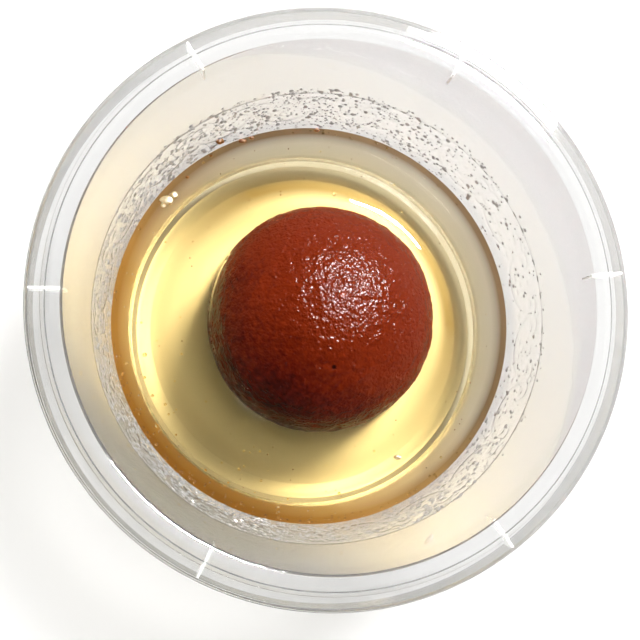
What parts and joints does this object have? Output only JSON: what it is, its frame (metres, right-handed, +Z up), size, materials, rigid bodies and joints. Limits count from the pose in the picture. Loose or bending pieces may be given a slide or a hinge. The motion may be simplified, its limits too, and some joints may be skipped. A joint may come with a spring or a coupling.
{
  "type": "gulab jamun in syrup in a clear round tub",
  "caption": "Round fried milk ball half sunk in pale sugar syrup, in a clear flared plastic tub with a stepped, skirted rim.",
  "frame": {"origin": "centre of the foot ring, on the surface that the tub stands on", "axes": "+Z up along the tub's axis; +X and +Y level, with +X through the side that has a rib 5 degrees from it"},
  "size_m": [0.11, 0.11, 0.065],
  "materials": {
    "clear_tub": "clear moulded polypropylene, glossy, slightly hazy",
    "sugar_syrup": "clear pale golden sugar syrup, wet gloss",
    "fried_ball": "red-brown fried crust, finely wrinkled and pitted, wet with syrup"
  },
  "bodies": {
    "root": {"tub": "clear_tub", "syrup": "sugar_syrup", "gulab_jamun": "fried_ball"}
  },
  "joints": []
}
